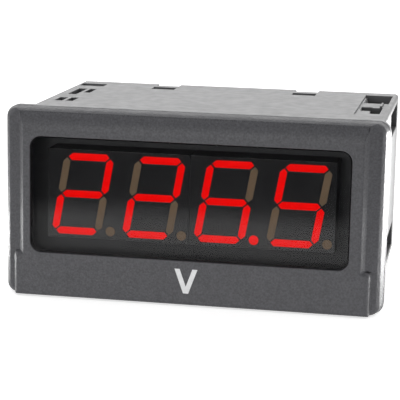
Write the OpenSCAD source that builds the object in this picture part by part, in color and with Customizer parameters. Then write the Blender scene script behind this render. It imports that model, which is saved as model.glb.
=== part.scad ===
// Digital panel meter, 96 x 48 mm bezel, four 20 mm LED digits.
// Frame: millimetres, +Z up, the display faces -Y and the housing runs back along +Y.
// Origin: centre of the panel opening, in the plane of the panel's front face.

/* [Bezel] */
// Width of the bezel at the panel
bezel_w = 96; // [95:0.5:98]
// Height of the bezel at the panel
bezel_h = 48; // [47:0.5:50]
// How far the bezel stands out of the panel
bezel_depth = 8; // [7.5:0.5:10]
// How much each side of the bezel leans in from the panel to the front
side_draft = 0.8; // [0:0.1:1.5]
// How much the top and bottom lean in from the panel to the front
top_draft = 0.3; // [0:0.1:0.8]
// Radius of the bezel's corners
bezel_r = 3; // [2:0.5:4]
// How far the middle of the bezel stands proud of its two side strips
raised = 1.4; // [0.8:0.1:1.8]
// Half width of the raised middle at its crest
middle_half = 42.3; // [41.8:0.1:42.6]
// Half width of the lower band
band_half = 44.9; // [44:0.1:45.4]
// Height of the lower band's upper edge
band_top = -12.4; // [-13:0.1:-12.2]

/* [Window] */
// Width of the window opening
window_w = 80; // [79:0.5:81]
// Height of the window opening
window_h = 29.4; // [28:0.2:30]
// Sideways place of the window and display
window_x = -0.5; // [-0.8:0.1:0]
// Height of the window's centre
window_z = 2.4; // [2:0.1:2.6]
// Corner radius of the window
window_r = 2.8; // [2:0.2:3.4]
// Thickness of the filter plate's flange
filter_flange = 0.8; // [0.6:0.1:1]

/* [Digits] */
// Distance from digit to digit
digit_pitch = 18.15; // [18:0.05:18.2]
// Height between the centre lines of the top and bottom segments
digit_h = 18.9; // [18:0.1:19]
// Width between the centre lines of the upright segments
digit_w = 11; // [10:0.1:11]
// Lean of the digits
digit_slant = 9.7; // [0:0.1:10]
// Width of a segment
segment_t = 1.8; // [1.6:0.1:2]
// Diameter of a decimal point
point_d = 2.4; // [2:0.1:2.4]
// Characters shown, one per digit
reading = [2, 2, 6, 5]; // [0:1:9]
// Digit whose decimal point is lit
lit_point = 3; // [1:1:4]

/* [Housing] */
// Outside width of the housing behind the panel
body_w = 91.5; // [91:0.1:91.8]
// Outside height of the housing behind the panel
body_h = 44.5; // [44:0.1:44.8]
// Depth of the housing behind the panel
body_depth = 63.5; // [63:0.5:64]
// Wall thickness
wall = 2; // [1.8:0.1:2.2]
// Thickness of the flange that seats on the panel
flange_t = 2.2; // [2:0.1:2.4]

/* [Terminals] */
// Poles of the measuring input plug
input_poles = 4; // [2:1:4]
// Poles of the supply plug
supply_poles = 2; // [2:1:2]
// Distance between poles
pole_pitch = 5.08; // [5:0.01:5.08]
// How far a clamping cage travels
cage_travel = 1.5; // [1:0.1:1.6]

/* [Hidden] */

$fn = 48;
eps = 0.01;

// Bezel
front_y = -bezel_depth;
strip_y = front_y + raised;
seam = 0.15;
bezel_back_y = -flange_t - seam;
bezel_wall = 1.6;
front_wall = 2;
front_edge = 0.9;
strip_fall = 0.5;
strip_w = 3.4;
ramp_w = 1.2;
band_fillet = 1;
band_corner = 1.2;
band_foot = 0.4;
top_slope_start = 18.8;
top_slope_end = 22.4;
top_step = 0.35;
snap_x = 26;
snap_y = -3.8;
snap_w = 8;
snap_l = 0.7;

// Window
window_lip = 1.2;
window_gap = 0.25;
filter_front_y = front_y + 0.35;
filter_ledge_y = front_y + front_wall;
filter_back_y = filter_ledge_y + filter_flange;

// Unit letter
letter_h = 6.2;
letter_w = 5.8;
letter_stroke = 1.3;
letter_z = -20.5;
letter_t = 0.1;

// Display modules
module_w = 2 * digit_pitch - 0.1;
module_h = 22.6;
module_face_y = filter_back_y + 0.2;
module_depth = 8;
module_back_y = module_face_y + module_depth;
segment_depth = 0.6;
segment_inset = 0.05;
segment_gap = 0.3;
digit_z = 2.5;
point_x = 8.7;
point_z = -digit_h / 2 + 0.3;
segments_of = ["abcdef", "bc", "abdeg", "abcdg", "bcfg", "acdfg", "acdefg", "abc", "abcdefg", "abcdfg"];

// Boards
board_t = 1.6;
display_board_y = module_back_y + 0.4;
lead_t = 0.5;
lead_pitch = 2.54;
lead_row = 3 * lead_pitch;
lead_end_y = display_board_y + board_t + 0.7;
display_board_w = 86.6;
display_board_h = 39.6;
main_board_z = -11.8;
power_board_z = 10.2;
board_w = 85.6;
board_front_y = display_board_y + board_t + 1;
board_back_y = 57.2;
guide_depth = 0.8;

// Parts on the main board: place, width, length and leads of a side
measuring_chip_place = [-24, 26];
measuring_chip_size = [7.5, 17, 12];
driver_chip_place = [2, 24];
driver_chip_size = [7.5, 12, 8];
chip_t = 1.9;
chip_lift = 0.2;
chip_lead_pitch = 1.27;
link_half_w = 14;
link_strip_t = 2.5;
link_strip_y = board_front_y + 1.6;
link_pins = 10;
link_pin_t = 0.64;

// Parts on the power board
smoothing_place = [-14, 24];
smoothing_d = 12.5;
smoothing_h = 17;
buffer_place = [-30, 22];
buffer_d = 8;
buffer_h = 11;
core_w = 26;
core_l = 22;
core_h = 15;
core_limb = 7;
core_window = 6;
core_x = 21;
core_y = 27;
core_z = power_board_z - 9.5;
fuse_l = 20;
fuse_d = 5;
fuse_x = -22;
fuse_y = 44;
fuse_z = power_board_z - 4;
clip_w = 4.4;

// Corner pockets for the panel clamps
pocket_x = 37.4;
pocket_z = 13.6;
pocket_roof_z = 20.3;
pocket_wall = 1.3;
pocket_front_y = 20;
pocket_back_y = 60;
rail_x = 44.4;
pocket_recess = 0.6;
recess_x = 37;
side_window_y = 34;
right_rear_y = 46;
right_slots = [[37.6, 40.5, 31, 38], [40.4, 43.1, 26, 37]];
right_rib = [42.4, 43, 37, 44];
left_rear_y = 53.2;
left_slots = [[37.6, 39.3, 38.5, 46.5], [40.3, 42.6, 34.5, 46.5], [37.6, 39.5, 21, 27.5], [40.5, 42.6, 21, 27.2]];

// Rear cover
cover_t = 2.4;
cover_back_y = body_depth - 0.6;
cover_front_y = cover_back_y - cover_t;
cover_fit = 0.15;
latch_x = 20;
latch_w = 6.5;
latch_slot_y = 52.5;
latch_slot_l = 4;
latch_reach_z = 21.4;
latch_t = 1.4;
latch_arm_w = 6;
hook_l = 3.3;
hook_flat = 1.4;
notch_l = 3.4;
vents = 8;
vent_pitch = 4.6;
vent_w = 2.2;
vent_h = 10;
vent_z = 11.5;

// Terminal strips
header_back_y = 60.2;
header_front_y = 48.2;
header_floor_z = main_board_z + board_t;
header_h = 8.6;
header_wall = 1;
pin_d = 1;
pin_z = header_floor_z + 4.3;
input_x = -20;
supply_x = 22;
plug_fit = 0.15;
plug_tip_y = header_front_y + header_wall + 0.4;
plug_step_y = body_depth - 0.2;
plug_back_y = 75;
plug_top_z = pin_z + 3.9;
plug_low_z = pin_z - 8.4;
screw_head_d = 3.4;
screw_head_h = 1.3;
screw_d = 2.4;
screw_head_y = plug_back_y - 0.6;
screw_end_y = 69.35;
screw_seat_y = screw_head_y - screw_head_h - 0.1;
screw_z = pin_z - 1.4;
cage_w = 4;
cage_h = 4.4;
cage_l = 4.9;
cage_wall = 0.7;
cage_top_y = 70.2;
cage_room_l = cage_l + cage_travel + 0.3;
cage_fit = 0.1;
cage_room_y = cage_top_y - cage_l - 0.15;
contact_t = 0.6;
contact_y = cage_top_y - cage_wall - 0.3;
contact_w = 2.6;
strip_t = 0.4;
contact_strip_w = 1.6;
contact_strip_z = pin_z + 0.9;
wire_d = 2.5;
wire_y = (cage_top_y - cage_l + cage_wall + contact_y - contact_t) / 2;
leg_y = header_front_y - 0.9;
leg_hole_d = 1.5;
pin_reach = 9;
socket_w = 2;
socket_l = 10.4;
slot_w = 0.6;

function slanted(p) = [p[0] + p[1] * tan(digit_slant), p[1]];
function digit_x(index) = window_x + (index - 2.5) * digit_pitch;
function plug_w(poles) = poles * pole_pitch + 0.6;
function pole_x(centre, poles, index) = centre + (index - (poles + 1) / 2) * pole_pitch;

// A solid with a rounded outline in the XZ plane, from y0 to y1
module slab(w, h, r, y0, y1, x = 0, z = 0) {
    translate([x, y1, z]) rotate([90, 0, 0]) linear_extrude(y1 - y0) rounded_outline(w, h, r);
}

module rounded_outline(w, h, r) {
    union() {
        square([w - 2 * r, h], center = true);
        square([w, h - 2 * r], center = true);
        for (sx = [-1, 1], sz = [-1, 1])
            translate([sx * (w / 2 - r), sz * (h / 2 - r)]) circle(r);
    }
}

// A box given by its two corners
module span(from, to) {
    translate(from) cube(to - from);
}

// ---- Bezel ----

// One thin slice of the bezel's outline, set in from the panel size
module bezel_slice(y, inset_x, inset_z, r) {
    slab(bezel_w - 2 * inset_x, bezel_h - 2 * inset_z, r, y, y + eps, $fn = 32);
}

module bezel_shell() {
    hull() {
        bezel_slice(bezel_back_y - eps, 0, 0, bezel_r);
        bezel_slice(strip_y + strip_fall + front_edge, side_draft, top_draft, bezel_r - 0.4);
        bezel_slice(strip_y + strip_fall, side_draft + front_edge, top_draft + 0.5, bezel_r - 0.8);
        bezel_slice(strip_y, side_draft + strip_w, top_draft + 0.5, 0.4);
    }
}

// The raised middle: a flat ridge above the lower band, with sloping flanks, that curves away at the top
module raised_middle() {
    foot = middle_half + ramp_w;
    low = band_top - 2;
    edge_z = bezel_h / 2 - top_draft - 0.5;
    drop = strip_y - top_step - front_y;
    slope_h = top_slope_end - top_slope_start;
    difference() {
        translate([0, 0, low]) linear_extrude(edge_z + 0.4 - low)
            polygon([[-foot, strip_y], [-middle_half, front_y], [middle_half, front_y], [foot, strip_y],
                     [foot, strip_y + 1], [-foot, strip_y + 1]]);
        translate([-50, 0, 0]) rotate([90, 0, 90]) linear_extrude(100)
            polygon(concat([[front_y - 1, top_slope_start]],
                           [for (t = [0:0.2:1]) [front_y + drop * t * t, top_slope_start + slope_h * t]],
                           [[strip_y, edge_z - eps], [strip_y + 1.4, edge_z + 0.4],
                            [strip_y + 1.4, edge_z + 2], [front_y - 1, edge_z + 2]]));
    }
}

// The lower band: wider than the middle, with rounded ends and a rounded lower edge
module lower_band() {
    low = -bezel_h / 2 + top_draft;
    hull() {
        band_slice(band_half, low, band_top, strip_y, strip_y + 1);
        band_slice(band_half - 0.25, low + 0.15, band_top - 0.15, front_y + 0.55, strip_y);
        band_slice(band_half - band_fillet, low + 0.7, band_top - 0.8, front_y, front_y + 0.1);
    }
}

// The four corners of the band from y0 to y1, rounder above than below
module band_slice(half, low, high, y0, y1) {
    for (sx = [-1, 1]) {
        post(sx * (half - band_corner), high - band_corner, band_corner, y0, y1);
        post(sx * (half - band_foot), low + band_foot, band_foot, y0, y1);
    }
}

module post(x, z, r, y0, y1) {
    translate([x, y1, z]) rotate([90, 0, 0]) cylinder(h = y1 - y0, r = r, $fn = 32);
}

module bezel() {
    inner_w = bezel_w - 2 * bezel_wall - 2 * side_draft;
    inner_h = bezel_h - 2 * bezel_wall - 2 * top_draft;
    color("dimgray")
    difference() {
        union() {
            bezel_shell();
            raised_middle();
            lower_band();
        }
        slab(inner_w, inner_h, 1.4, filter_ledge_y, 0);
        slab(window_w, window_h, window_r, front_y - 1, 0, window_x, window_z);
        for (sx = [-1, 1], sz = [-1, 1])
            translate([sx * snap_x, snap_y, sz * inner_h / 2])
                cube([snap_w + 0.4, snap_l + 0.3, 0.9], center = true);
    }
}

module window() {
    color([0.05, 0.05, 0.06, 0.5])
    union() {
        slab(window_w - 2 * window_gap, window_h - 2 * window_gap, window_r - window_gap,
             filter_front_y, filter_ledge_y, window_x, window_z);
        slab(window_w + 2 * window_lip, window_h + 2 * window_lip, window_r,
             filter_ledge_y, filter_back_y, window_x, window_z);
    }
}

// The unit letter V, a thin layer of print on the lower band
module unit_letter() {
    half = letter_w / 2;
    inner = half - letter_stroke;
    color("gainsboro")
    translate([window_x, front_y, letter_z]) rotate([90, 0, 0]) linear_extrude(letter_t)
        polygon([[-letter_stroke / 2, 0], [letter_stroke / 2, 0], [half, letter_h], [inner, letter_h],
                 [0, letter_stroke * 1.35], [-inner, letter_h], [-half, letter_h]]);
}

// ---- Housing ----

// What a corner pocket takes out of the housing, for the upper right corner.
// rear_from: front end of the rear opening; slots: a list of [x from, x to, y from, y to]
module pocket_cut(rear_from, slots) {
    top = body_h / 2 + 1;
    span([pocket_x, pocket_front_y, pocket_z], [rail_x, pocket_back_y, pocket_roof_z]);
    span([pocket_x, side_window_y, pocket_z], [body_w / 2 + 1, pocket_back_y, pocket_roof_z]);
    span([pocket_x, rear_from, pocket_z], [rail_x, pocket_back_y - 2, top]);
    for (s = slots)
        span([s[0], s[2], pocket_roof_z - 1], [s[1], s[3], top]);
}

// This pair of pockets lies under a shallow recess with one rib standing in it
module pocket_cut_right() {
    pocket_cut(right_rear_y, right_slots);
    difference() {
        span([recess_x, pocket_front_y, body_h / 2 - pocket_recess],
             [rail_x, pocket_back_y - 2, body_h / 2 + 1]);
        span([right_rib[0], right_rib[2], 0], [right_rib[1], right_rib[3], body_h]);
    }
}

module pocket_cut_left() {
    pocket_cut(left_rear_y, left_slots);
}

// The inside of the housing, between the front opening and the rear cover
module cavity() {
    in_w = body_w - 2 * wall;
    in_h = body_h - 2 * wall;
    corner_x = pocket_x - pocket_wall;
    corner_z = pocket_z - pocket_wall;
    difference() {
        span([-in_w / 2, -7, -in_h / 2], [in_w / 2, body_depth + 1, in_h / 2]);
        for (sx = [0, 1], sz = [0, 1])
            mirror([sx, 0, 0]) mirror([0, 0, sz])
                span([corner_x, pocket_front_y - pocket_wall, corner_z], [50, body_depth + 2, 30]);
    }
}

module housing() {
    spigot_front_y = filter_back_y + 0.4;
    spigot_w = bezel_w - 2 * bezel_wall - 2 * side_draft - 0.3;
    spigot_h = bezel_h - 2 * bezel_wall - 2 * top_draft - 0.3;
    color("gray")
    difference() {
        union() {
            slab(bezel_w, bezel_h, bezel_r, -flange_t, 0);
            slab(body_w, body_h, 1, -eps, body_depth);
            slab(spigot_w, spigot_h, 1.3, spigot_front_y, -flange_t + eps);
            for (sx = [-1, 1], sz = [-1, 1])
                translate([sx * snap_x, snap_y, sz * (spigot_h / 2 + 0.1)])
                    cube([snap_w, snap_l, 0.6], center = true);
        }
        cavity();
        pocket_cut_right();
        mirror([1, 0, 0]) pocket_cut_left();
        rotate([0, 180, 0]) pocket_cut_right();
        mirror([0, 0, 1]) pocket_cut_left();
        for (sx = [-1, 1], sz = [-1, 1]) {
            translate([sx * latch_x, latch_slot_y + latch_slot_l / 2, sz * body_h / 2])
                cube([latch_w, latch_slot_l, 3 * wall], center = true);
            translate([sx * latch_x, body_depth, sz * body_h / 2])
                cube([latch_w, 2 * notch_l, 3 * wall], center = true);
        }
        for (sx = [-1, 1], z = [main_board_z, power_board_z])
            translate([sx * (body_w / 2 - wall), (board_front_y + cover_front_y) / 2, z + board_t / 2])
                cube([2 * guide_depth, cover_front_y - board_front_y, board_t + 0.1], center = true);
        for (sx = [-1, 1])
            translate([sx * (body_w / 2 - wall), display_board_y + board_t / 2 - 2, 0])
                cube([0.8, board_t + 4.1, display_board_h + 0.2], center = true);
    }
}

// ---- Rear cover ----

module cover_latch() {
    arm_z = body_h / 2 - wall - cover_fit;
    hook_h = latch_reach_z - arm_z;
    span([latch_x - latch_arm_w / 2, latch_slot_y + 0.3, arm_z - latch_t],
         [latch_x + latch_arm_w / 2, cover_front_y + eps, arm_z]);
    translate([latch_x - latch_arm_w / 2, latch_slot_y + 0.3, arm_z - eps])
        rotate([90, 0, 90]) linear_extrude(latch_arm_w)
            polygon([[0, 0], [hook_l, 0], [hook_l, hook_h], [hook_flat, hook_h]]);
}

module rear_cover() {
    in_w = body_w - 2 * wall - 2 * cover_fit;
    in_h = body_h - 2 * wall - 2 * cover_fit;
    neck_w = 2 * (pocket_x - pocket_wall - cover_fit);
    neck_h = 2 * (pocket_z - pocket_wall - cover_fit);
    color("dimgray")
    difference() {
        union() {
            slab(in_w, neck_h, 0.4, cover_front_y, cover_back_y);
            slab(neck_w, in_h, 0.4, cover_front_y, cover_back_y);
            for (sx = [0, 1], sz = [0, 1])
                mirror([sx, 0, 0]) mirror([0, 0, sz]) cover_latch();
        }
        for (place = [[input_x, input_poles], [supply_x, supply_poles]])
            translate([place[0], cover_front_y + cover_t / 2, header_floor_z + header_h / 2])
                cube([plug_w(place[1]) + 2 * header_wall + 0.8, 2 * cover_t, header_h + 0.5], center = true);
        for (i = [1:vents])
            translate([(i - (vents + 1) / 2) * vent_pitch, cover_front_y + cover_t / 2, vent_z])
                cube([vent_w, 2 * cover_t, vent_h], center = true);
    }
}

// ---- Display ----

// A segment from one corner of the digit to the next, with pointed ends
module segment(from, to) {
    length = norm(to - from);
    u = (to - from) / length;
    n = [-u[1], u[0]];
    h = segment_t / 2;
    a = from + u * segment_gap;
    b = to - u * segment_gap;
    points = [a, a + (u + n) * h, b - (u - n) * h, b, b - (u + n) * h, a + (u - n) * h];
    polygon([for (p = points) slanted(p)]);
}

// The outline of one lettered segment: a on top, then clockwise to f, and g in the middle
module segment_outline(letter) {
    x = digit_w / 2;
    z = digit_h / 2;
    if (letter == "a") segment([-x, z], [x, z]);
    if (letter == "b") segment([x, 0], [x, z]);
    if (letter == "c") segment([x, -z], [x, 0]);
    if (letter == "d") segment([-x, -z], [x, -z]);
    if (letter == "e") segment([-x, -z], [-x, 0]);
    if (letter == "f") segment([-x, 0], [-x, z]);
    if (letter == "g") segment([-x, 0], [x, 0]);
    if (letter == "p") translate([point_x + point_z * tan(digit_slant), point_z]) circle(d = point_d);
}

// The chosen segments of one digit, from the given depth below the module's face
module digit_segments(index, letters, y0, y1) {
    translate([digit_x(index), y1, digit_z]) rotate([90, 0, 0]) linear_extrude(y1 - y0)
        for (letter = letters) segment_outline(letter);
}

function lit(index) = str(segments_of[reading[index - 1]], index == lit_point ? "p" : "");
function dark(index) = [for (letter = "abcdefgp") if (len(search(letter, lit(index))) == 0) letter];

module digit_lit(index) {
    color("red")
        digit_segments(index, lit(index), module_face_y + segment_inset, module_face_y + segment_depth);
}

module digit_dark(index) {
    color([0.29, 0.26, 0.23])
        digit_segments(index, dark(index), module_face_y + segment_inset, module_face_y + segment_depth);
}

// A two-digit LED module: moulded shell, segment wells and two rows of leads
module display_module(first) {
    centre = (digit_x(first) + digit_x(first + 1)) / 2;
    color([0.12, 0.12, 0.13])
    difference() {
        union() {
            slab(module_w, module_h, 0.3, module_face_y, module_back_y, centre, digit_z, $fn = 24);
            for (i = [-4:4], sz = [-1, 1])
                translate([centre + lead_pitch * i, 0, digit_z + sz * lead_row])
                    span([-lead_t / 2, module_back_y - eps, -lead_t / 2], [lead_t / 2, lead_end_y, lead_t / 2]);
        }
        for (index = [first, first + 1])
            digit_segments(index, "abcdefgp", module_face_y - 1, module_face_y + segment_depth);
    }
}

// ---- Boards and what they carry ----

module display_board() {
    color("darkgreen")
    difference() {
        slab(display_board_w, display_board_h, 0.8, display_board_y, display_board_y + board_t);
        for (index = [1, 3], i = [-4:4], sz = [-1, 1])
            translate([(digit_x(index) + digit_x(index + 1)) / 2 + lead_pitch * i,
                       display_board_y + board_t / 2, digit_z + sz * lead_row])
                cube([lead_t + 0.1, 3 * board_t, lead_t + 0.1], center = true);
    }
}

module carrier_board(z) {
    half_w = board_w / 2 + guide_depth;
    span([-half_w, board_front_y, z], [half_w, board_back_y, z + board_t]);
}

module main_board() {
    color("darkgreen")
    difference() {
        carrier_board(main_board_z);
        for (place = [[input_x, input_poles], [supply_x, supply_poles]], i = [1:place[1]])
            translate([pole_x(place[0], place[1], i), leg_y, main_board_z + board_t / 2])
                cylinder(h = 3 * board_t, d = leg_hole_d, center = true);
    }
}

module power_board() {
    color("darkgreen") carrier_board(power_board_z);
}

// A row of straight pins in a plastic strip, from a carrier board to the display board
module link_header(z, side) {
    strip_z = side > 0 ? z + board_t : z - link_strip_t;
    pin_out_z = strip_z + link_strip_t / 2;
    half = link_pin_t / 2;
    union() {
        span([-link_half_w, link_strip_y, strip_z],
             [link_half_w, link_strip_y + link_strip_t, strip_z + link_strip_t]);
        for (i = [1:link_pins])
            translate([lead_pitch * (i - (link_pins + 1) / 2), 0, pin_out_z])
                span([-half, display_board_y + board_t, -half], [half, link_strip_y + link_strip_t - 0.1, half]);
    }
}

module main_link_header() {
    color([0.1, 0.1, 0.1]) link_header(main_board_z, 1);
}

module power_link_header() {
    color([0.1, 0.1, 0.1]) link_header(power_board_z, -1);
}

// A gull-wing chip lying on top of the main board
module chip(place, size) {
    leads = size[2];
    translate([place[0], place[1], main_board_z + board_t]) {
        translate([0, 0, chip_lift + chip_t / 2]) cube([size[0], size[1], chip_t], center = true);
        for (i = [1:leads], s = [-1, 1])
            translate([s * (size[0] / 2 + 0.5), (i - (leads + 1) / 2) * chip_lead_pitch, 0.5])
                cube([1.4, 0.4, 1], center = true);
    }
}

module measuring_chip() {
    color([0.08, 0.08, 0.08]) chip(measuring_chip_place, measuring_chip_size);
}

module display_driver_chip() {
    color([0.08, 0.08, 0.08]) chip(driver_chip_place, driver_chip_size);
}

// The transformer's laminated core, two windows around the middle limb
module transformer_core() {
    color("silver")
    difference() {
        translate([core_x, core_y, core_z]) cube([core_w, core_l, core_h], center = true);
        for (sx = [-1, 1])
            translate([core_x + sx * (core_limb + core_window) / 2, core_y, core_z])
                cube([core_window, core_l + 2, core_h - core_limb + 1], center = true);
    }
}

// The winding and its flanges around the middle limb, with six pins up to the power board
module transformer_bobbin() {
    fit = 0.1;
    winding_w = core_limb + 2 * core_window - 2 * fit;
    winding_h = core_h - core_limb + 1 - 2 * fit;
    color("ivory")
    difference() {
        union() {
            translate([core_x, core_y, core_z]) cube([winding_w, core_l + 6, winding_h], center = true);
            for (sx = [-1:1], sy = [-1, 1])
                translate([core_x + sx * 9, core_y + sy * (core_l / 2 + 2.4), core_z])
                    cylinder(h = power_board_z - core_z, d = 0.9, $fn = 24);
        }
        translate([core_x, core_y, core_z])
            cube([core_limb + 2 * fit, core_l + 2 * fit, core_h], center = true);
    }
}

// A capacitor can that hangs from the power board
module can_capacitor(place, d, h) {
    translate([place[0], place[1], power_board_z - h]) cylinder(h = h, d = d);
}

module smoothing_capacitor() {
    color("navy") can_capacitor(smoothing_place, smoothing_d, smoothing_h);
}

module buffer_capacitor() {
    color("navy") can_capacitor(buffer_place, buffer_d, buffer_h);
}

module fuse_tube() {
    color("lightgray")
    translate([fuse_x, fuse_y, fuse_z]) rotate([0, 90, 0]) cylinder(h = fuse_l, d = fuse_d, center = true);
}

module fuse_clips() {
    color("silver")
    for (s = [-1, 1])
        translate([fuse_x + s * (fuse_l / 2 - 2.6), fuse_y, 0])
            difference() {
                span([-clip_w / 2, -fuse_d / 2 - 0.6, fuse_z - fuse_d / 2 - 0.6],
                     [clip_w / 2, fuse_d / 2 + 0.6, power_board_z]);
                translate([0, 0, fuse_z]) rotate([0, 90, 0])
                    cylinder(h = clip_w + 1, d = fuse_d + 0.04, center = true);
                span([-clip_w, -2.1, fuse_z - fuse_d], [clip_w, 2.1, fuse_z - 1.4]);
            }
}

// ---- Terminals ----

// The socket strip on the main board: a box open to the rear
module header_shell(x, poles) {
    w = plug_w(poles) + 2 * header_wall + 2 * plug_fit;
    difference() {
        span([x - w / 2, header_front_y, header_floor_z],
             [x + w / 2, header_back_y, header_floor_z + header_h]);
        span([x - w / 2 + header_wall, header_front_y + header_wall, header_floor_z + header_wall],
             [x + w / 2 - header_wall, header_back_y + 1, header_floor_z + header_h - header_wall]);
        for (i = [1:poles])
            translate([pole_x(x, poles, i), header_front_y, pin_z]) cube([pin_d, 4, pin_d], center = true);
    }
}

// One bent pin for each pole: along the plug, then down through the board
module header_pins(x, poles) {
    for (i = [1:poles])
        translate([pole_x(x, poles, i), 0, 0]) {
            span([-pin_d / 2, leg_y - pin_d / 2, pin_z - pin_d / 2],
                 [pin_d / 2, header_front_y + pin_reach, pin_z + pin_d / 2]);
            span([-pin_d / 2, leg_y - pin_d / 2, main_board_z - 1.2], [pin_d / 2, leg_y + pin_d / 2, pin_z]);
        }
}

module input_header() {
    color("darkslategray") header_shell(input_x, input_poles);
}

module supply_header() {
    color("darkslategray") header_shell(supply_x, supply_poles);
}

module input_header_pins() {
    color("silver") header_pins(input_x, input_poles);
}

module supply_header_pins() {
    color("silver") header_pins(supply_x, supply_poles);
}

// The plug: a tongue that enters the header and a block that holds the clamps
module plug_body(x, poles) {
    w = plug_w(poles);
    difference() {
        union() {
            span([x - w / 2, plug_tip_y, header_floor_z + header_wall + plug_fit],
                 [x + w / 2, plug_step_y + eps, header_floor_z + header_h - header_wall - plug_fit]);
            span([x - w / 2, plug_step_y, plug_low_z], [x + w / 2, plug_back_y, plug_top_z]);
        }
        for (i = [1:poles])
            translate([pole_x(x, poles, i), 0, 0]) {
                span([-socket_w / 2, plug_tip_y - 1, pin_z - socket_w / 2],
                     [socket_w / 2, plug_tip_y + socket_l, pin_z + socket_w / 2]);
                contact_way();
                translate([0, plug_back_y + 1, screw_z]) rotate([90, 0, 0])
                    cylinder(h = plug_back_y + 1 - screw_seat_y, d = screw_head_d + 0.3);
                translate([0, screw_seat_y + 1, screw_z]) rotate([90, 0, 0])
                    cylinder(h = 3, d = screw_d + 0.4);
                span([-cage_w / 2 - cage_fit, cage_room_y, screw_z - cage_h / 2 - cage_fit],
                     [cage_w / 2 + cage_fit, cage_room_y + cage_room_l, screw_z + cage_h / 2 + cage_fit]);
                translate([0, wire_y, plug_low_z - 1]) cylinder(h = screw_z - plug_low_z, d = wire_d);
            }
    }
}

// The space of one contact: a flat strip above the pin and a bar across the clamp
module contact_way() {
    span([-contact_strip_w / 2, plug_tip_y + 1.5, contact_strip_z],
         [contact_strip_w / 2, contact_y, contact_strip_z + strip_t]);
    span([-contact_w / 2, contact_y - contact_t, screw_z - cage_h / 2 - cage_fit],
         [contact_w / 2, contact_y, contact_strip_z + strip_t]);
}

// The flat spring contact inside each pole, with a bump that bears on the pin
module plug_contacts(x, poles) {
    for (i = [1:poles])
        translate([pole_x(x, poles, i), 0, 0]) {
            contact_way();
            span([-contact_strip_w / 2, plug_tip_y + 2.5, pin_z + pin_d / 2 + 0.05],
                 [contact_strip_w / 2, plug_tip_y + 4.5, contact_strip_z + eps]);
        }
}

module input_plug() {
    color("green") plug_body(input_x, input_poles);
}

module supply_plug() {
    color("green") plug_body(supply_x, supply_poles);
}

module input_plug_contacts() {
    color("silver") plug_contacts(input_x, input_poles);
}

module supply_plug_contacts() {
    color("silver") plug_contacts(supply_x, supply_poles);
}

// A slotted clamp screw
module clamp_screw(x) {
    color("silver")
    difference() {
        union() {
            translate([x, screw_head_y, screw_z]) rotate([90, 0, 0])
                cylinder(h = screw_head_h, d = screw_head_d);
            translate([x, screw_head_y - screw_head_h + eps, screw_z]) rotate([90, 0, 0])
                cylinder(h = screw_head_y - screw_head_h - screw_end_y, d = screw_d);
        }
        translate([x, screw_head_y, screw_z]) cube([2 * screw_head_d, 1.2, slot_w], center = true);
    }
}

// The clamping cage: a square ring round the wire, threaded on the screw
module clamp_cage(x) {
    color("silver")
    difference() {
        span([x - cage_w / 2, cage_top_y - cage_l, screw_z - cage_h / 2],
             [x + cage_w / 2, cage_top_y, screw_z + cage_h / 2]);
        span([x - cage_w / 2 + cage_wall, cage_top_y - cage_l + cage_wall, screw_z - cage_h],
             [x + cage_w / 2 - cage_wall, cage_top_y - cage_wall, screw_z + cage_h]);
        translate([x, cage_top_y, screw_z]) rotate([90, 0, 0])
            cylinder(h = 4, d = screw_d + 0.1, center = true);
    }
}

bezel();
window();
unit_letter();
housing();
rear_cover();
display_module(1);  // display_module_left
display_module(3);  // display_module_right
digit_lit(1);  // digit_1_lit
digit_dark(1);  // digit_1_dark
digit_lit(2);  // digit_2_lit
digit_dark(2);  // digit_2_dark
digit_lit(3);  // digit_3_lit
digit_dark(3);  // digit_3_dark
digit_lit(4);  // digit_4_lit
digit_dark(4);  // digit_4_dark
display_board();
main_board();
power_board();
main_link_header();
power_link_header();
measuring_chip();
display_driver_chip();
transformer_core();
transformer_bobbin();
smoothing_capacitor();
buffer_capacitor();
fuse_tube();
fuse_clips();
input_header();
supply_header();
input_header_pins();
supply_header_pins();
input_plug();
supply_plug();
input_plug_contacts();
supply_plug_contacts();
clamp_screw(pole_x(input_x, input_poles, 1));  // input_screw_1
clamp_screw(pole_x(input_x, input_poles, 2));  // input_screw_2
clamp_screw(pole_x(input_x, input_poles, 3));  // input_screw_3
clamp_screw(pole_x(input_x, input_poles, 4));  // input_screw_4
clamp_screw(pole_x(supply_x, supply_poles, 1));  // supply_screw_1
clamp_screw(pole_x(supply_x, supply_poles, 2));  // supply_screw_2
clamp_cage(pole_x(input_x, input_poles, 1));  // input_cage_1
clamp_cage(pole_x(input_x, input_poles, 2));  // input_cage_2
clamp_cage(pole_x(input_x, input_poles, 3));  // input_cage_3
clamp_cage(pole_x(input_x, input_poles, 4));  // input_cage_4
clamp_cage(pole_x(supply_x, supply_poles, 1));  // supply_cage_1
clamp_cage(pole_x(supply_x, supply_poles, 2));  // supply_cage_2
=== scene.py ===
import math

import bmesh
import bpy
from mathutils import Matrix, Vector


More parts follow.
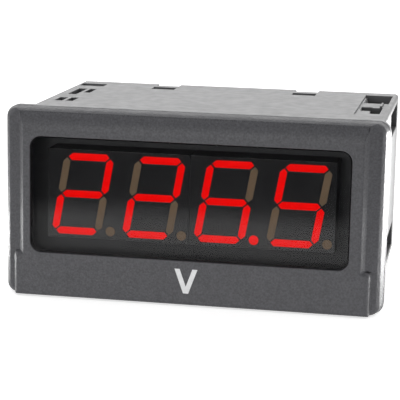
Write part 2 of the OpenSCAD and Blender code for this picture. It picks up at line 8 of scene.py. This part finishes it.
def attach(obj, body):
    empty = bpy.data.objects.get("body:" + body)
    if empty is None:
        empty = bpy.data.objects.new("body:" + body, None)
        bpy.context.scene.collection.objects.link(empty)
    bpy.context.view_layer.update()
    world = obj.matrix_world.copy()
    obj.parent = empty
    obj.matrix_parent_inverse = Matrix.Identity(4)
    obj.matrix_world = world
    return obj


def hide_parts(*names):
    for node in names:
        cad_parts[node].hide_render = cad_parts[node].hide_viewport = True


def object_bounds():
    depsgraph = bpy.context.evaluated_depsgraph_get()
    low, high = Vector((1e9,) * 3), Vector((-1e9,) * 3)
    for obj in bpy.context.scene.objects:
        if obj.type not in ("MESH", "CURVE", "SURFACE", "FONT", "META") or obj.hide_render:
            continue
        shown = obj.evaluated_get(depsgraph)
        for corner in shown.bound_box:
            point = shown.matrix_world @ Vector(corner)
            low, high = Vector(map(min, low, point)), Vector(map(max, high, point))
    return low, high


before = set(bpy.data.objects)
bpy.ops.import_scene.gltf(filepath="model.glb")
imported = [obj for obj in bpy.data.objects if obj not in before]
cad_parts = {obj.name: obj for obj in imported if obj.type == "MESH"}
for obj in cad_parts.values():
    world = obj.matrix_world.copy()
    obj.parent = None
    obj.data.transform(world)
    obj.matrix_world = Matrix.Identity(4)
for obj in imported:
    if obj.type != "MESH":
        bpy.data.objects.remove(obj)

cad_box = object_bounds()


# ---- Housing ----
# The case behind the panel is one moulding in dark flame-retardant plastic. It carries the seat flange,
# four corner pockets for the panel clamps, and the slots that the rear cover's latches snap into.

def softened(name, node, body, radius, corner=25, steps=2, stays_sharp=lambda middle: False):
    """A copy of a solid with its corners rounded a little, as they leave the mould or the press."""
    bm = bmesh.new()
    bm.from_mesh(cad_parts[node].data)
    bmesh.ops.remove_doubles(bm, verts=bm.verts, dist=2e-6)
    bmesh.ops.dissolve_limit(bm, angle_limit=math.radians(0.5), verts=bm.verts, edges=bm.edges)
    sharp = [e for e in bm.edges if len(e.link_faces) == 2 and e.calc_face_angle() > math.radians(corner)
             and not stays_sharp((e.verts[0].co + e.verts[1].co) / 2)]
    bmesh.ops.bevel(bm, geom=sharp, offset=radius, offset_type="OFFSET", affect="EDGES", segments=steps,
                    profile=0.5, material=-1, clamp_overlap=False)
    bmesh.ops.dissolve_degenerate(bm, dist=1e-7, edges=bm.edges)
    mesh = bpy.data.meshes.new(name)
    bm.to_mesh(mesh)
    bm.free()
    mesh.shade_smooth()
    mesh.set_sharp_from_angle(angle=math.radians(50))
    piece = bpy.data.objects.new(name, mesh)
    bpy.context.collection.objects.link(piece)
    weighted = piece.modifiers.new("flat faces stay flat", "WEIGHTED_NORMAL")
    weighted.keep_sharp = True
    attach(piece, body)
    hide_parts(node)
    return piece


class Finish:
    """A material under way: its shader, and the patterns that are laid over it in the piece's own place."""

    def __init__(self, name, colour, roughness, metallic=0.0):
        self.material = bpy.data.materials.new(name)
        self.material.use_nodes = True
        self.nodes = self.material.node_tree.nodes
        self.links = self.material.node_tree.links
        self.shader = self.nodes["Principled BSDF"]
        self.shader.inputs["Base Color"].default_value = (*colour, 1)
        self.shader.inputs["Roughness"].default_value = roughness
        self.shader.inputs["Metallic"].default_value = metallic
        self.place = self.nodes.new("ShaderNodeTexCoord").outputs["Object"]

    def noise(self, scale, detail=3.0, stretch=(1, 1, 1)):
        turned = self.nodes.new("ShaderNodeMapping")
        turned.inputs["Scale"].default_value = stretch
        self.links.new(self.place, turned.inputs["Vector"])
        cloud = self.nodes.new("ShaderNodeTexNoise")
        cloud.inputs["Scale"].default_value = scale
        cloud.inputs["Detail"].default_value = detail
        self.links.new(turned.outputs["Vector"], cloud.inputs["Vector"])
        return cloud.outputs["Fac"]

    def colours(self, factor, first, second, start=0.3, end=0.7):
        ramp = self.nodes.new("ShaderNodeValToRGB")
        ramp.color_ramp.elements[0].position = start
        ramp.color_ramp.elements[0].color = (*first, 1)
        ramp.color_ramp.elements[1].position = end
        ramp.color_ramp.elements[1].color = (*second, 1)
        self.links.new(factor, ramp.inputs["Fac"])
        return ramp.outputs["Color"]

    def paint(self, colour):
        self.links.new(colour, self.shader.inputs["Base Color"])

    def rub(self, factor, low, high):
        span = self.nodes.new("ShaderNodeMapRange")
        span.inputs["From Min"].default_value = 0.3
        span.inputs["From Max"].default_value = 0.7
        span.inputs["To Min"].default_value = low
        span.inputs["To Max"].default_value = high
        self.links.new(factor, span.inputs["Value"])
        self.links.new(span.outputs["Result"], self.shader.inputs["Roughness"])

    def relief(self, height, depth, strength=1.0):
        bump = self.nodes.new("ShaderNodeBump")
        bump.inputs["Strength"].default_value = strength
        bump.inputs["Distance"].default_value = depth
        self.links.new(height, bump.inputs["Height"])
        self.links.new(bump.outputs["Normal"], self.shader.inputs["Normal"])


def shade(colour, by):
    return tuple(c * by for c in colour)


def moulded(name, colour, roughness, grain_depth, grain_scale=3000, cloud_scale=90, cloudiness=0.07):
    """Moulded plastic: cloudy colour, a spark-eroded grain and a gloss that varies a little."""
    finish = Finish(name, colour, roughness)
    finish.paint(finish.colours(finish.noise(cloud_scale, 4),
                                shade(colour, 1 - cloudiness), shade(colour, 1 + cloudiness)))
    finish.rub(finish.noise(350, 2), roughness - 0.04, roughness + 0.04)
    finish.relief(finish.noise(grain_scale, 2), grain_depth, 0.6)
    return finish.material


housing = softened("housing_shell", "housing", "meter", 0.00014)
housing.data.materials.append(moulded("housing plastic", (0.07, 0.07, 0.074), 0.42, 0.00002))


# ---- Boards ----
# Glass laminate boards: the display board stands behind the digits under a black solder mask, and the
# main and power boards lie in the housing's side guides under green. Tracks show as paler lines.

def masked_laminate(name, first_axis, ground, track, step, smoothest, roughest):
    """Laminate under solder mask: the tracks are paler and raise the mask by a step."""
    finish = Finish(name, ground, smoothest)
    tracks = finish.nodes.new("ShaderNodeTexWave")
    tracks.wave_type = "BANDS"
    tracks.bands_direction = first_axis
    tracks.inputs["Scale"].default_value = 95
    tracks.inputs["Distortion"].default_value = 0
    finish.links.new(finish.place, tracks.inputs["Vector"])
    fields = finish.nodes.new("ShaderNodeTexVoronoi")
    fields.distance = "MANHATTAN"
    fields.inputs["Scale"].default_value = 160
    finish.links.new(finish.place, fields.inputs["Vector"])
    both = finish.nodes.new("ShaderNodeMath")
    both.operation = "MULTIPLY"
    finish.links.new(tracks.outputs["Fac"], both.inputs[0])
    finish.links.new(fields.outputs["Distance"], both.inputs[1])
    finish.paint(finish.colours(both.outputs["Value"], ground, track, 0.28, 0.34))
    finish.rub(finish.noise(400, 2), smoothest, roughest)
    finish.relief(both.outputs["Value"], step, 0.4)
    return finish.material


green_mask = masked_laminate("green solder mask", "X", (0.012, 0.11, 0.035), (0.035, 0.2, 0.07),
                             0.00003, 0.25, 0.36)
black_mask = masked_laminate("black solder mask", "Z", (0.028, 0.028, 0.032), (0.033, 0.033, 0.037),
                             0.000001, 0.5, 0.6)
for node, mask in (("display_board", black_mask), ("main_board", green_mask), ("power_board", green_mask)):
    board = softened(node + "_laminate", node, "meter", 0.00006, steps=1)
    board.data.materials.append(mask)


# ---- Parts on the boards ----
# Chips in black epoxy with a dull face, sleeved capacitors, a glass fuse in tinned clips, and the mains
# transformer: a laminated core round a moulded bobbin. The headers join the three boards.

header_black = moulded("header plastic", (0.02, 0.02, 0.02), 0.4, 0.00001)
for node in ("main_link_header", "power_link_header"):
    header = softened(node + "_body", node, "meter", 0.00008, steps=1)
    header.data.materials.append(header_black)

epoxy = moulded("chip epoxy", (0.022, 0.022, 0.024), 0.55, 0.00002, 5000)
for node in ("measuring_chip", "display_driver_chip"):
    chip = softened(node + "_package", node, "meter", 0.00008, steps=1)
    chip.data.materials.append(epoxy)

laminations = Finish("core laminations", (0.35, 0.35, 0.36), 0.4, 0.8)
sheets = laminations.noise(2600, 1, (0, 0, 1))
laminations.paint(laminations.colours(sheets, (0.2, 0.19, 0.18), (0.42, 0.42, 0.43)))
laminations.rub(laminations.noise(600, 2), 0.35, 0.5)
laminations.relief(sheets, 0.00005, 0.6)
core = softened("transformer_core_stack", "transformer_core", "meter", 0.0001)
core.data.materials.append(laminations.material)

winding = Finish("winding tape", (0.75, 0.68, 0.45), 0.45)
wraps = winding.noise(500, 2, (1, 0.2, 1))
winding.paint(winding.colours(wraps, (0.62, 0.5, 0.2), (0.78, 0.68, 0.36)))
winding.rub(wraps, 0.3, 0.5)
winding.relief(wraps, 0.00008, 0.5)
bobbin = softened("transformer_bobbin_wound", "transformer_bobbin", "meter", 0.0001)
bobbin.data.materials.append(winding.material)

sleeve = Finish("capacitor sleeve", (0.02, 0.03, 0.12), 0.28)
sleeve.paint(sleeve.colours(sleeve.noise(200, 2), (0.014, 0.02, 0.09), (0.025, 0.04, 0.14)))
sleeve.rub(sleeve.noise(700, 2), 0.22, 0.34)
sleeve.relief(sleeve.noise(900, 2), 0.00003, 0.4)
for node in ("smoothing_capacitor", "buffer_capacitor"):
    can = softened(node + "_can", node, "meter", 0.0004, steps=3)
    can.data.materials.append(sleeve.material)

glass = Finish("fuse glass", (0.85, 0.9, 0.9), 0.06)
glass.paint(glass.colours(glass.noise(200, 2), (0.8, 0.86, 0.86), (0.9, 0.94, 0.94)))
glass.shader.inputs["Alpha"].default_value = 0.4
fuse = softened("fuse_tube_glass", "fuse_tube", "meter", 0.0001)
fuse.data.materials.append(glass.material)


def tin_plate(name, colour, low=0.22, high=0.38):
    finish = Finish(name, colour, 0.3, 1.0)
    finish.paint(finish.colours(finish.noise(500, 3), shade(colour, 0.85), colour))
    finish.rub(finish.noise(1500, 3), low, high)
    finish.relief(finish.noise(2500, 2), 0.000008, 0.5)
    return finish.material


tin = tin_plate("tin plate", (0.74, 0.73, 0.7))
clips = softened("fuse_clips_plated", "fuse_clips", "meter", 0.00005, steps=1)
clips.data.materials.append(tin)


# ---- Display modules and segments ----
# Two twin-digit modules, each a black moulded shell with a glossy front and dull sides. Its segment
# windows are filled with diffusing resin, which glows red where it is lit and is dull brown where it isn't.

face_black = Finish("module face black", (0.01, 0.01, 0.011), 0.12)
face_black.paint(face_black.colours(face_black.noise(150, 3), (0.008, 0.008, 0.009), (0.011, 0.011, 0.012)))
face_black.rub(face_black.noise(300, 2), 0.14, 0.18)
face_black.shader.inputs["IOR"].default_value = 1.45
side_black = moulded("module side black", (0.012, 0.012, 0.013), 0.6, 0.00001)
for node in ("display_module_left", "display_module_right"):
    shell = softened(node + "_shell", node, "meter", 0.00012)
    shell.data.materials.append(face_black.material)
    shell.data.materials.append(side_black)
    for face in shell.data.polygons:
        faces_the_reader = face.normal.y < -0.9
        face.material_index = 0 if faces_the_reader else 1

glow = Finish("lit resin", (0.4, 0.002, 0.001), 0.5)
glow.paint(glow.colours(glow.noise(600, 2), (0.36, 0.001, 0.001), (0.44, 0.002, 0.001)))
glow.links.new(glow.colours(glow.noise(300, 2), (0.94, 0.0, 0.0), (1.0, 0.0, 0.0)),
               glow.shader.inputs["Emission Color"])
glow.shader.inputs["Emission Strength"].default_value = 0.72
glow.shader.inputs["Specular IOR Level"].default_value = 0.0

resin = Finish("unlit resin", (0.2, 0.135, 0.08), 0.6)
resin.paint(resin.colours(resin.noise(260, 3), (0.185, 0.125, 0.075), (0.215, 0.145, 0.088)))
resin.rub(resin.noise(800, 2), 0.55, 0.65)
resin.shader.inputs["Specular IOR Level"].default_value = 0.15
resin.relief(resin.noise(1500, 2), 0.00001, 0.4)

for digit in (1, 2, 3, 4):
    lit = softened(f"digit_{digit}_segments_on", f"digit_{digit}_lit", "meter",
                   0.00004, steps=1)
    lit.data.materials.append(glow.material)
    dark = softened(f"digit_{digit}_segments_off", f"digit_{digit}_dark", "meter",
                    0.00004, steps=1)
    dark.data.materials.append(resin.material)


# ---- Window ----
# A smoked acrylic plate with a polished face, whose flange sits behind the bezel and whose middle fills
# the bezel's opening nearly flush.

smoke = Finish("smoked acrylic", (0.012, 0.012, 0.013), 0.03)
smoke.paint(smoke.colours(smoke.noise(60, 2), (0.01, 0.01, 0.011), (0.014, 0.014, 0.015)))
smoke.rub(smoke.noise(40, 2), 0.02, 0.04)
smoke.shader.inputs["IOR"].default_value = 1.8
smoke.shader.inputs["Alpha"].default_value = 0.12

# The plate's side faces are opaque and near black. This is painted shade: it keeps the narrow gap round the
# plate dark, like the shadow in that gap.
gap_shade_edge = Finish("painted gap shade edge", (0.006, 0.006, 0.006), 0.6)
gap_shade_edge.paint(gap_shade_edge.colours(gap_shade_edge.noise(500, 2), (0.004, 0.004, 0.004), (0.008, 0.008, 0.008)))
gap_shade_edge.rub(gap_shade_edge.noise(900, 2), 0.5, 0.7)
window = softened("window_plate", "window", "meter", 0.00006)
window.data.materials.append(smoke.material)
window.data.materials.append(gap_shade_edge.material)
for face in window.data.polygons:
    is_polished = abs(face.normal.y) > 0.5
    face.material_index = 0 if is_polished else 1


# ---- Bezel ----
# The front frame is moulded in dark grey plastic with a fine spark-eroded grain. Its middle stands proud
# between two side strips, with a wider band below, and it snaps onto the housing's front.

flank_inner_x = 0.0425
flank_outer_x = 0.0437
flank_top_z = 0.0219


def flank_end(middle):
    """The shallow corner where the flanks of the raised middle run out at the top."""
    return flank_inner_x < abs(middle.x) < flank_outer_x and middle.z > flank_top_z


bezel = softened("bezel_frame", "bezel", "meter", 0.00028,
                 corner=18, steps=3, stays_sharp=flank_end)
bezel.data.materials.append(moulded("bezel plastic", (0.066, 0.066, 0.073), 0.48, 0.0002,
                                    grain_scale=1500, cloud_scale=2200, cloudiness=0.3))


# ---- Unit letter ----
# The unit that the meter reads in, a thin layer of light grey ink. It is screen printed on the lower band
# after moulding, and lies on the surface as a thin film.

ink = Finish("screen print", (0.84, 0.85, 0.86), 0.5)
ink.paint(ink.colours(ink.noise(900, 3), (0.8, 0.81, 0.82), (0.88, 0.89, 0.9)))
ink.rub(ink.noise(1500, 2), 0.42, 0.58)
ink.relief(ink.noise(3000, 2), 0.00001, 0.5)
letter = softened("unit_letter_print", "unit_letter", "meter", 0.00002, steps=1)
letter.data.materials.append(ink.material)


# ---- Rear cover ----
# A flat plate moulded in the housing's plastic, with ventilation slots and openings for the terminals. It
# closes the case behind, and four latches on its edges snap into the housing's top and bottom.

cover = softened("rear_cover_plate", "rear_cover", "meter", 0.0002)
cover.data.materials.append(moulded("cover plastic", (0.07, 0.07, 0.075), 0.45, 0.00002))


# ---- Terminal strips ----
# Green polyamide headers stand on the main board with straight tinned pins. A pluggable terminal block
# slides onto each, and its pressed contact strips grip the pins.

polyamide = moulded("terminal polyamide", (0.02, 0.2, 0.065), 0.38, 0.000012, 2500)
for side in ("input", "supply"):
    shroud = softened(f"{side}_header_shroud", f"{side}_header", "meter", 0.00015)
    shroud.data.materials.append(polyamide)
    pins = softened(f"{side}_header_pins_plated", f"{side}_header_pins", "meter",
                    0.00005, steps=1)
    pins.data.materials.append(tin)
    plug = softened(f"{side}_plug_body", f"{side}_plug", f"{side}_plug",
                    0.00025, steps=3)
    plug.data.materials.append(polyamide)
    strips = softened(f"{side}_plug_contact_strips", f"{side}_plug_contacts", f"{side}_plug",
                      0.00004, steps=1)
    strips.data.materials.append(tin)


# ---- Clamp screws and cages ----
# Each pole has a zinc-plated slotted screw, which draws a pressed steel cage up under the contact and
# traps the wire.

zinc = tin_plate("zinc plate", (0.62, 0.62, 0.6), 0.25, 0.42)
yellow_zinc = tin_plate("yellow zinc plate", (0.62, 0.58, 0.42), 0.28, 0.45)
for side, poles in (("input", 4), ("supply", 2)):
    for pole in range(1, poles + 1):
        screw = softened(f"{side}_screw_{pole}_slotted", f"{side}_screw_{pole}", f"{side}_screw_{pole}",
                         0.00012)
        screw.data.materials.append(zinc)
        cage = softened(f"{side}_cage_{pole}_pressed", f"{side}_cage_{pole}", f"{side}_cage_{pole}",
                        0.00012)
        cage.data.materials.append(yellow_zinc)


# ---- Studio ----
# A white table that runs out in front of the meter, a pale surrounding, soft boxes and the camera.

low = cad_box[0][2]


def seen_directly(nodes, links):
    """1 for rays from the camera, and for those mirrored or let through on their way to it."""
    path = nodes.new("ShaderNodeLightPath")
    total = path.outputs["Is Camera Ray"]
    for kind in ("Is Glossy Ray", "Is Transmission Ray"):
        join = nodes.new("ShaderNodeMath")
        join.operation = "MAXIMUM"
        links.new(total, join.inputs[0])
        links.new(path.outputs[kind], join.inputs[1])
        total = join.outputs["Value"]
    return total


world = bpy.data.worlds.new("studio")
world.use_nodes = True
bpy.context.scene.world = world
nodes, links = world.node_tree.nodes, world.node_tree.links
brightness = nodes.new("ShaderNodeMapRange")
brightness.inputs["To Min"].default_value = 0.65
brightness.inputs["To Max"].default_value = 1.0
links.new(seen_directly(nodes, links), brightness.inputs["Value"])
links.new(brightness.outputs["Result"], nodes["Background"].inputs["Strength"])
nodes["Background"].inputs["Color"].default_value = (1, 1, 1, 1)


def sheet_of(name, x0, x1, y0, y1, z):
    bm = bmesh.new()
    bmesh.ops.create_grid(bm, x_segments=1, y_segments=1, size=0.5)
    bmesh.ops.scale(bm, vec=(x1 - x0, y1 - y0, 1), verts=bm.verts)
    bmesh.ops.translate(bm, vec=((x0 + x1) / 2, (y0 + y1) / 2, z), verts=bm.verts)
    mesh = bpy.data.meshes.new(name)
    bm.to_mesh(mesh)
    bm.free()
    sheet = bpy.data.objects.new(name, mesh)
    bpy.context.collection.objects.link(sheet)
    return sheet


table = sheet_of("table", -3, 3, -3, 3, low)
paper = Finish("white table", (0.9, 0.9, 0.9), 0.7)
paper.paint(paper.colours(paper.noise(20, 2), (0.88, 0.88, 0.88), (0.92, 0.92, 0.92)))
lift = paper.nodes.new("ShaderNodeMapRange")
lift.inputs["To Max"].default_value = 0.62
paper.links.new(seen_directly(paper.nodes, paper.links), lift.inputs["Value"])
paper.links.new(lift.outputs["Result"], paper.shader.inputs["Emission Strength"])
paper.shader.inputs["Emission Color"].default_value = (1, 1, 1, 1)
paper.shader.inputs["Specular IOR Level"].default_value = 0.1
table.data.materials.append(paper.material)

dusk = Finish("dark studio", (0.02, 0.02, 0.02), 0.9)
dusk.paint(dusk.colours(dusk.noise(30, 2), (0.018, 0.018, 0.018), (0.022, 0.022, 0.022)))
dusk_starts_y = -0.098
dusk_full_y = -0.125
fade = dusk.nodes.new("ShaderNodeMapRange")
fade.inputs["From Min"].default_value = dusk_starts_y
fade.inputs["From Max"].default_value = dusk_full_y
split = dusk.nodes.new("ShaderNodeSeparateXYZ")
dusk.links.new(dusk.place, split.inputs["Vector"])
dusk.links.new(split.outputs["Y"], fade.inputs["Value"])
dusk.links.new(fade.outputs["Result"], dusk.shader.inputs["Alpha"])

reach = 1.5
wall_y = -1.2
wall_half = 1.0
front_floor = sheet_of("dark_floor_in_front", -reach, reach, wall_y, -0.09, low + 0.0005)
front_wall = sheet_of("dark_wall_in_front", -reach, reach, -wall_half, wall_half, 0)
upright = Matrix.Rotation(math.radians(90), 4, "X")
front_wall.data.transform(Matrix.Translation((0, wall_y, wall_half + low)) @ upright)
for dark in (front_floor, front_wall):
    dark.data.materials.append(dusk.material)
    dark.visible_camera = False
    dark.visible_diffuse = False
    dark.visible_shadow = False


def soft_box(name, place, target, wide, high, level, only_reflected=False):
    """A lamp behind a white screen, level times as bright as a white sheet in plain light."""
    lamp = bpy.data.lights.new(name, "AREA")
    lamp.shape = "RECTANGLE"
    lamp.size = wide
    lamp.size_y = high
    lamp.energy = level * math.pi * wide * high
    box = bpy.data.objects.new(name, lamp)
    bpy.context.collection.objects.link(box)
    box.location = place
    box.rotation_euler = (Vector(target) - Vector(place)).to_track_quat("-Z", "Y").to_euler()
    box.visible_camera = False
    box.visible_diffuse = not only_reflected


soft_box("front fill", (-0.16, -0.85, 0.06), (0, 0, 0), 0.3, 0.3, 8.0)
soft_box("rear panel", (0, 0.45, 0.17), (0, 0, 0.02), 0.6, 0.12, 2.2)
soft_box("right panel", (0.11, 0.07, -0.003), (0.047, -0.005, -0.005), 0.06, 0.04, 40.0, True)
soft_box("right edge light", (0.085, 0.012, -0.018), (0.045, -0.008, -0.018), 0.03, 0.012, 16.0, True)
soft_box("left edge light", (-0.085, 0.012, -0.018), (-0.045, -0.008, -0.018), 0.03, 0.012, 20.0, True)
soft_box("left panel", (-0.12, 0.03, -0.014), (-0.045, -0.008, -0.018), 0.07, 0.02, 3.0, True)

camera_data = bpy.data.cameras.new("camera")
camera_data.sensor_width = 36
camera_data.lens = 138.5
camera_data.clip_start = 0.01
camera = bpy.data.objects.new("camera", camera_data)
bpy.context.collection.objects.link(camera)
camera_place = (0.0700, -0.3705, 0.0776)
turn = math.radians(10.52)
tilt_down = math.radians(11.39)
roll = math.radians(1.10)
camera.matrix_world = (Matrix.Translation(camera_place)
                       @ Matrix.Rotation(turn, 4, "Z")
                       @ Matrix.Rotation(math.pi / 2 - tilt_down, 4, "X")
                       @ Matrix.Rotation(roll, 4, "Z"))
bpy.context.scene.camera = camera
bpy.context.scene.view_settings.view_transform = "Standard"
